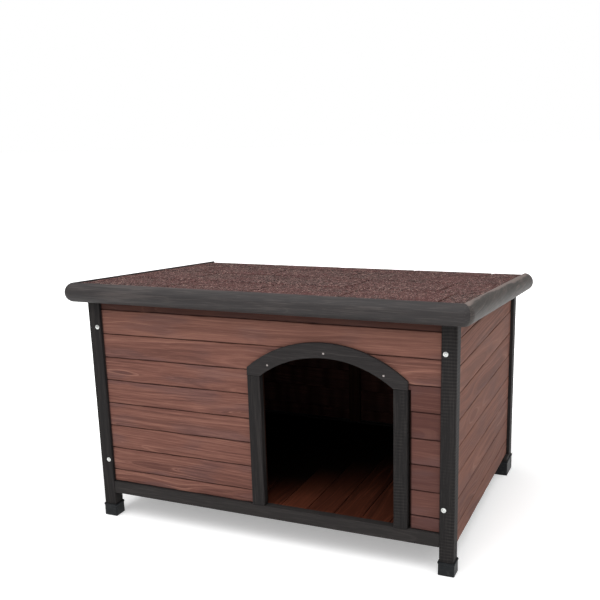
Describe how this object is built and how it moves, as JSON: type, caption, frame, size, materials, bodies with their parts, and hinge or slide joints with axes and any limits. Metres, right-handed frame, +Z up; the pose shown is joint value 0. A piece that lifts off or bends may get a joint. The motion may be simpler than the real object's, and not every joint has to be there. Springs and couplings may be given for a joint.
{
  "type": "dog house",
  "caption": "Wooden dog house on capped legs, with an off-centre arched doorway, slatted floor and a sloping shingled roof that hinges up at the rear and is held by slotted stays.",
  "frame": {"origin": "on the floor under the middle of the whole outline, roof included", "axes": "doorway faces -Y, +X to the right of somebody looking at the doorway, +Z up"},
  "size_m": [1.145, 0.8364, 0.7072],
  "materials": {
    "wall_boards": "translucent brown stain over visible grain, satin",
    "dark_frame": "charcoal stain, satin, worn at the edges",
    "inner_timber": "dark brown stain, matt",
    "floor_timber": "red-brown stain, matt",
    "roof_trim": "charcoal stain with pale worn streaks, satin",
    "plywood": "dark brown stained plywood, matt",
    "shingle": "red-brown mineral granules in bitumen, matt",
    "cap_plastic": "black moulded plastic, matt",
    "zinc_steel": "zinc plated, satin"
  },
  "bodies": {
    "house": {"front_board_left_1": "wall_boards", "front_board_left_2": "wall_boards", "front_board_left_3": "wall_boards", "front_board_left_4": "wall_boards", "front_board_left_5": "wall_boards", "front_board_left_6": "wall_boards", "front_boards_right": "wall_boards", "front_board_over_door": "wall_boards", "front_board_upper": "wall_boards", "front_board_top": "wall_boards", "rear_wall_boards": "wall_boards", "left_wall_boards": "wall_boards", "right_wall_boards": "wall_boards", "left_front_leg": "dark_frame", "left_rear_leg": "dark_frame", "right_front_leg": "dark_frame", "right_rear_leg": "dark_frame", "left_rear_foot_block": "dark_frame", "right_rear_foot_block": "dark_frame", "front_bottom_rail": "dark_frame", "rear_bottom_rail": "dark_frame", "left_side_rail": "dark_frame", "right_side_rail": "dark_frame", "left_jamb": "dark_frame", "right_jamb": "dark_frame", "door_arch": "dark_frame", "rear_top_rail": "inner_timber", "corner_stiles": "inner_timber", "door_battens": "inner_timber", "rear_centre_batten": "inner_timber", "floor_bearers": "inner_timber", "floor_boards": "floor_timber", "left_front_foot_cap": "cap_plastic", "left_rear_foot_cap": "cap_plastic", "right_front_foot_cap": "cap_plastic", "right_rear_foot_cap": "cap_plastic", "hinge_wall_leaf_1": "zinc_steel", "hinge_wall_leaf_2": "zinc_steel", "hinge_wall_leaf_3": "zinc_steel", "hinge_pins": "zinc_steel", "hinge_wall_screws": "zinc_steel", "stay_wall_brackets": "zinc_steel", "arch_nails": "zinc_steel", "leg_screws": "zinc_steel"},
    "lid": {"roof_deck": "plywood", "front_trim": "roof_trim", "left_trim": "roof_trim", "right_trim": "roof_trim", "shingle_course_1": "shingle", "shingle_course_2": "shingle", "shingle_course_3": "shingle", "shingle_course_4": "shingle", "hinge_lid_leaf_1": "zinc_steel", "hinge_lid_leaf_2": "zinc_steel", "hinge_lid_leaf_3": "zinc_steel", "hinge_lid_screws": "zinc_steel", "stay_lid_brackets": "zinc_steel"},
    "left_stay": {"left_stay_arm": "zinc_steel"},
    "right_stay": {"right_stay_arm": "zinc_steel"}
  },
  "joints": [
    {"name": "lid_hinge", "type": "hinge", "parent": "house", "child": "lid", "pos_m": [0, 0.40284, 0.62458], "axis": [-1, 0, 0], "range_deg": [0, 28]},
    {"name": "left_stay_pivot", "type": "hinge", "parent": "lid", "child": "left_stay", "pos_m": [-0.4952, 0.19255, 0.62972], "axis": [1, 0, 0], "range_deg": [0, 14]},
    {"name": "right_stay_pivot", "type": "hinge", "parent": "lid", "child": "right_stay", "pos_m": [0.4952, 0.19255, 0.62972], "axis": [1, 0, 0], "range_deg": [0, 14]}
  ],
  "couplings": [
    {"joint": "left_stay_pivot", "follows": "lid_hinge", "ratio": 0.5},
    {"joint": "right_stay_pivot", "follows": "lid_hinge", "ratio": 0.5}
  ]
}
